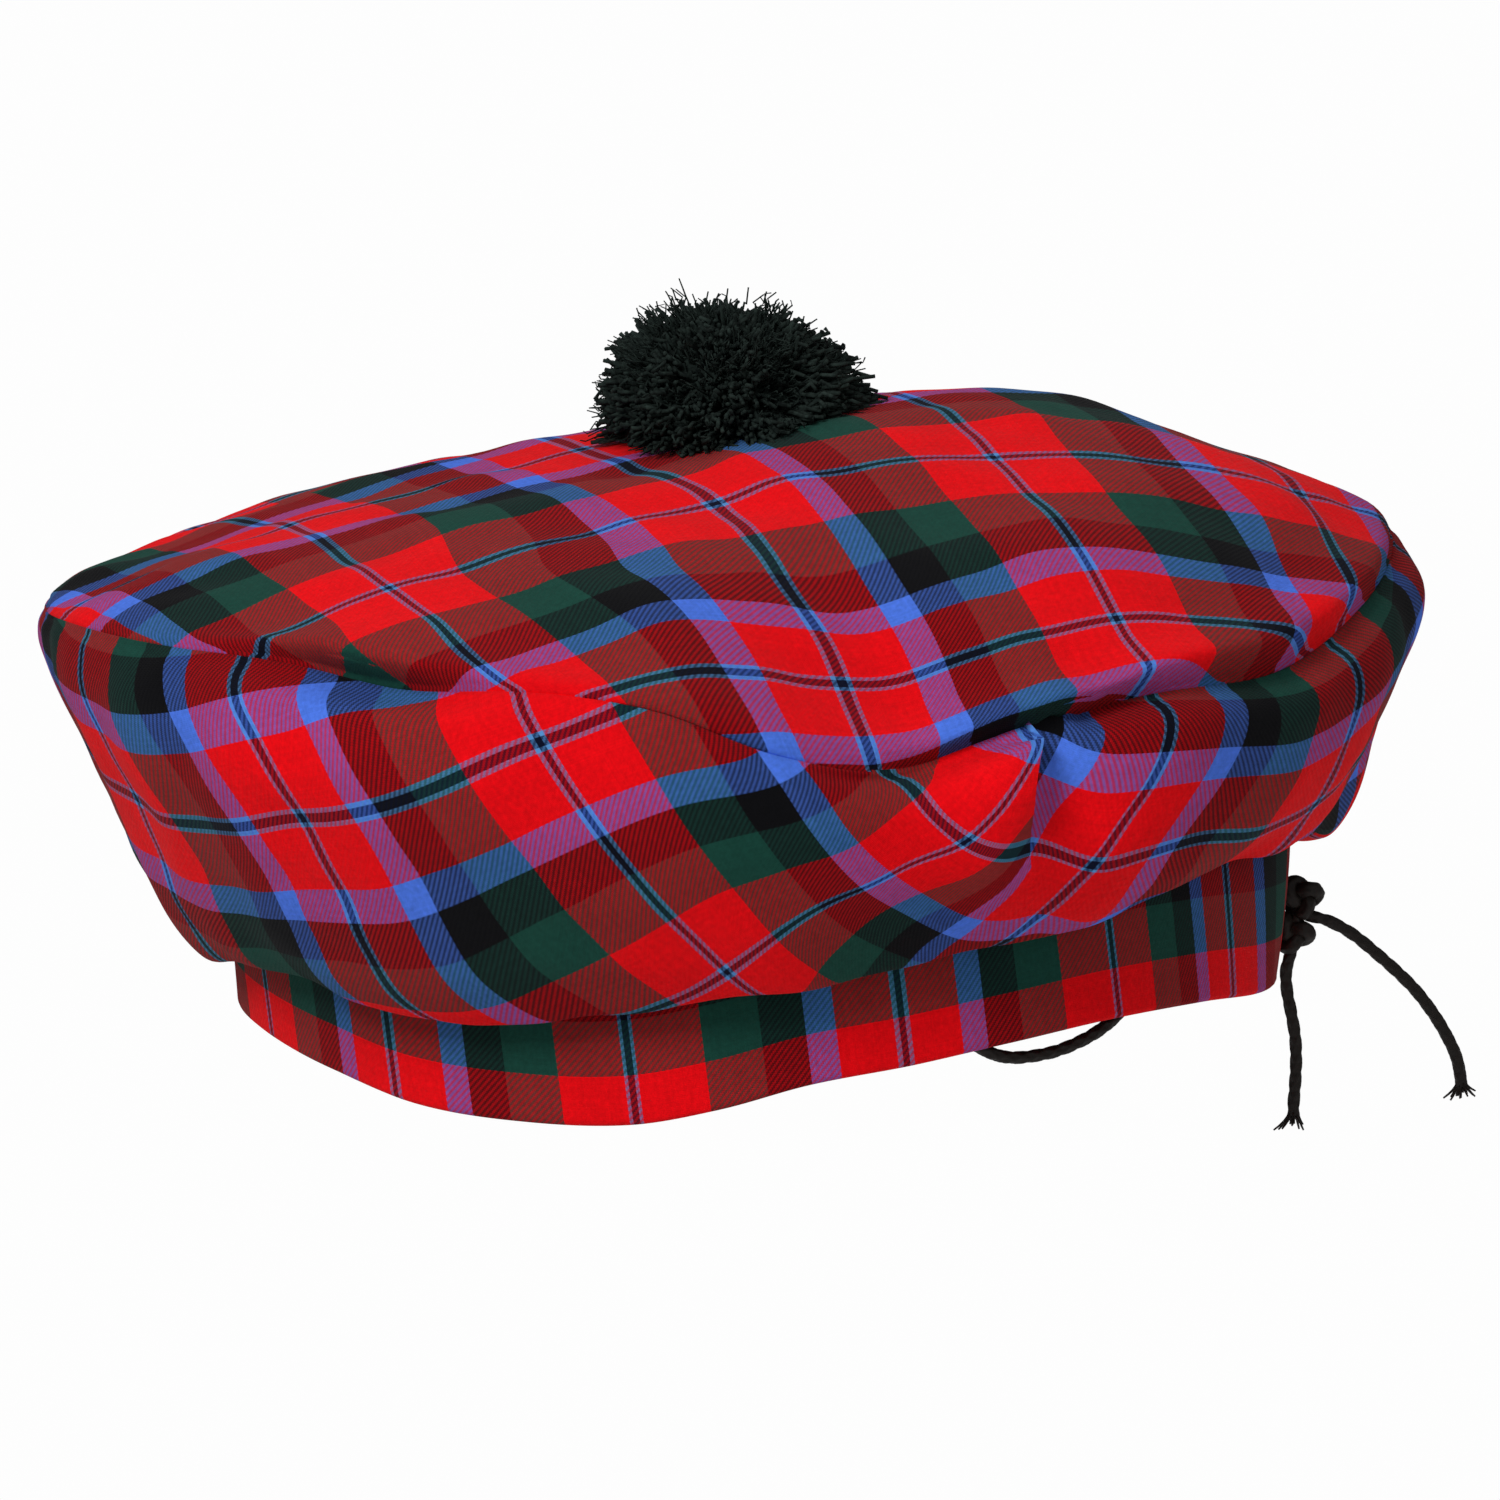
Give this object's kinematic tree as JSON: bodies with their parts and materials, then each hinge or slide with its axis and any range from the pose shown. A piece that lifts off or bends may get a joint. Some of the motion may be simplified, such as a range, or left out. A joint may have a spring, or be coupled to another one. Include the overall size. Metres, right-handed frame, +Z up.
{
  "type": "balmoral bonnet",
  "caption": "Soft round tartan wool bonnet: a full, slumped crown gathered over an upright headband, a wool pompom on top and a lace tied at the back.",
  "frame": {"origin": "middle of the headband's lower opening, where the head goes in", "axes": "+Z up through the wearer's head, +X towards the back where the lace is tied, -Y the wearer's right side"},
  "size_m": [0.2463, 0.2411, 0.1657],
  "materials": {
    "tartan_crown": "worsted wool twill, large tartan of red with blue, green, black and thin azure lines, matt with a faint nap",
    "tartan_band": "the same tartan cloth in a smaller sett, doubled and stitched into an upright band",
    "toorie_wool": "cut wool yarn, very dark bottle green, matt",
    "lace_cord": "round braided cord, near black, slightly waxed"
  },
  "bodies": {
    "root": {"crown_top": "tartan_crown", "crown_side": "tartan_crown", "headband": "tartan_band", "toorie": "toorie_wool", "lace_knot": "lace_cord", "lace_end_long": "lace_cord", "lace_end_short": "lace_cord", "lace_loop": "lace_cord"}
  },
  "joints": []
}
